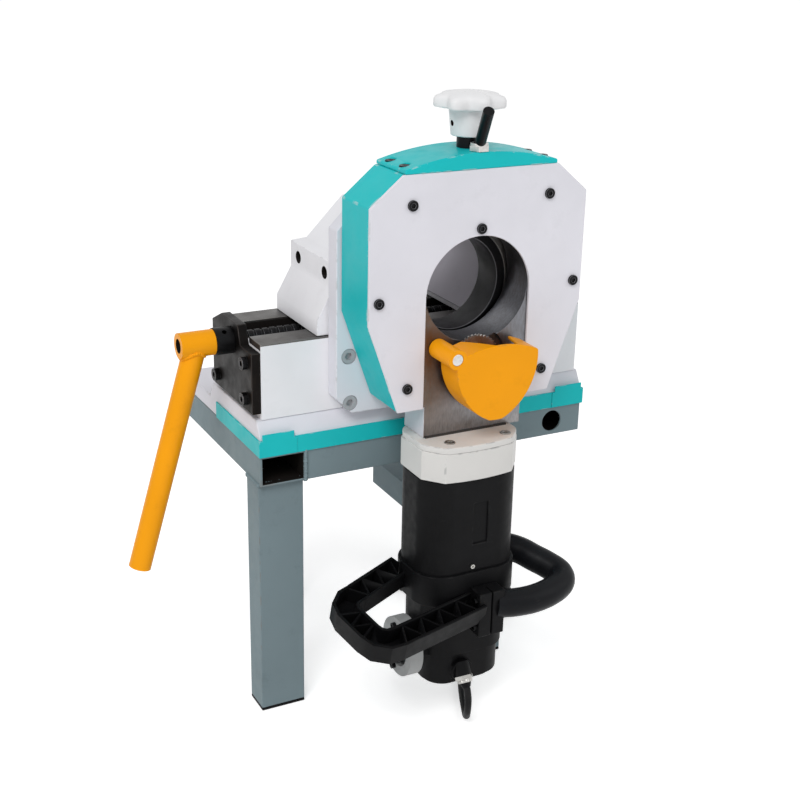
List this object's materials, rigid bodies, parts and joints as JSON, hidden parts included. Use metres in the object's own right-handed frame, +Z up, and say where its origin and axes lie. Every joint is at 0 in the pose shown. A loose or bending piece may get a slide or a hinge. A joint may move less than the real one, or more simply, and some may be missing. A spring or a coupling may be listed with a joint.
{
  "type": "orbital pipe cutter",
  "caption": "Orbital pipe cutter on a low tube stand: a screw vise grips the pipe and a motor saw head with feed slide, guard and handles turns round it.",
  "frame": {"origin": "on the pipe axis, in the plane of the fixed flange's front face", "axes": "+Z up; the pipe lies along Y and -Y points out of the front, where the guard and the motor are; +X is to the right seen from the front"},
  "size_m": [0.6163, 0.4876, 0.7983],
  "materials": {
    "stand_paint": "satin",
    "black_plastic": "satin",
    "white_paint": "satin",
    "teal_paint": "gloss",
    "yellow_paint": "gloss",
    "dark_steel": "oiled",
    "black_steel": "black oxide",
    "bright_steel": "machined",
    "bronze": "machined",
    "cream_paint": "satin",
    "white_plastic": "gloss",
    "grey_plastic": "satin",
    "motor_iron": "lacquered",
    "lead_rubber": "matte"
  },
  "bodies": {
    "base": {"stand_top_frame": "stand_paint", "stand_legs": "stand_paint", "stand_stretcher": "stand_paint", "leg_caps": "black_plastic", "base_casting": "white_paint", "base_trim": "teal_paint", "base_bolts": "black_steel", "vise_body": "white_paint", "guide_rails": "dark_steel", "end_plate": "black_steel", "end_plate_bolts": "black_steel", "flange": "white_paint", "flange_bolts": "bright_steel", "liner": "black_steel", "hub_retainer": "dark_steel", "lead_lower": "lead_rubber", "lead_coil": "lead_rubber", "plug": "black_plastic"},
    "head": {"head_housing": "teal_paint", "front_plate": "white_paint", "front_plate_screws": "black_steel", "top_cap": "teal_paint", "top_cap_screws": "black_steel", "head_bush": "bronze", "feed_collar": "black_steel"},
    "carriage": {"slide": "bright_steel", "feed_nut": "bronze", "gearbox_cover": "cream_paint", "gearbox_screws": "bright_steel", "gearbox_housing": "cream_paint", "motor_casing": "black_plastic", "motor_end_cap": "black_plastic", "stator": "motor_iron", "motor_bearings": "bright_steel", "spindle_bearings": "bright_steel", "handle_left": "black_plastic", "handle_right": "black_plastic", "handle_bracket": "black_plastic", "switch_bezel": "grey_plastic", "cable_gland": "bright_steel", "guard_pin": "bright_steel", "lead_upper": "lead_rubber"},
    "feed_screw": {"feed_spindle": "bright_steel", "feed_knob": "white_plastic"},
    "clamp": {"clamp_hub": "bright_steel", "clamp_rod": "black_steel"},
    "saw": {"blade": "bright_steel", "blade_screw": "black_steel", "blade_spindle": "bright_steel"},
    "drive": {"drive_shaft": "bright_steel"},
    "rotor": {"rotor": "motor_iron"},
    "guard": {"guard": "yellow_paint"},
    "left_jaw": {"jaw_left": "white_paint", "jaw_left_grips": "dark_steel"},
    "right_jaw": {"jaw_right": "white_paint", "jaw_right_grips": "dark_steel"},
    "vise_screw": {"vise_screw": "dark_steel", "screw_collar": "black_steel", "crank_handle": "yellow_paint"},
    "switch": {"switch_knob": "black_plastic"}
  },
  "joints": [
    {"name": "orbit", "type": "hinge", "parent": "base", "child": "head", "pos_m": [0, 0, 0], "axis": [0, 1, 0], "range_deg": [-180, 180]},
    {"name": "feed", "type": "slide", "parent": "head", "child": "carriage", "axis": [0, 0, 1], "range_m": [-0.01, 0.025]},
    {"name": "feed_screw_turn", "type": "hinge", "parent": "head", "child": "feed_screw", "pos_m": [0, -0.0395, 0.19], "axis": [0, 0, 1], "range_deg": [-900, 2250]},
    {"name": "clamp_turn", "type": "hinge", "parent": "head", "child": "clamp", "pos_m": [-0.0015, -0.067, 0.17], "axis": [0, 0, 1], "range_deg": [0, 60]},
    {"name": "rotor_spin", "type": "hinge", "parent": "carriage", "child": "rotor", "pos_m": [-0.012, -0.066, -0.3], "axis": [0, 0, 1], "continuous": true},
    {"name": "drive_spin", "type": "hinge", "parent": "carriage", "child": "drive", "pos_m": [0, -0.04407, -0.15], "axis": [0, 0, 1], "continuous": true},
    {"name": "saw_spin", "type": "hinge", "parent": "carriage", "child": "saw", "pos_m": [0, -0.06, -0.084], "axis": [0, 1, 0], "continuous": true},
    {"name": "guard_swing", "type": "hinge", "parent": "carriage", "child": "guard", "pos_m": [-0.052, -0.1, -0.061], "axis": [0, 1, 0], "range_deg": [0, 60]},
    {"name": "left_jaw_slide", "type": "slide", "parent": "base", "child": "left_jaw", "axis": [1, 0, 0], "range_m": [0, 0.04]},
    {"name": "right_jaw_slide", "type": "slide", "parent": "base", "child": "right_jaw", "axis": [-1, 0, 0], "range_m": [0, 0.04]},
    {"name": "vise_screw_turn", "type": "hinge", "parent": "base", "child": "vise_screw", "pos_m": [-0.25, 0.0915, -0.0735], "axis": [1, 0, 0], "range_deg": [0, 2880]},
    {"name": "switch_turn", "type": "hinge", "parent": "carriage", "child": "switch", "pos_m": [-0.087, -0.066, -0.46], "axis": [-1, 0, 0], "range_deg": [0, 270]}
  ],
  "couplings": [
    {"joint": "feed_screw_turn", "follows": "feed", "rad_per_m": 1570.8},
    {"joint": "drive_spin", "follows": "rotor_spin", "ratio": -0.31579},
    {"joint": "saw_spin", "follows": "rotor_spin", "ratio": -0.15789},
    {"joint": "right_jaw_slide", "follows": "left_jaw_slide", "ratio": 1},
    {"joint": "vise_screw_turn", "follows": "left_jaw_slide", "rad_per_m": 1256.6}
  ]
}
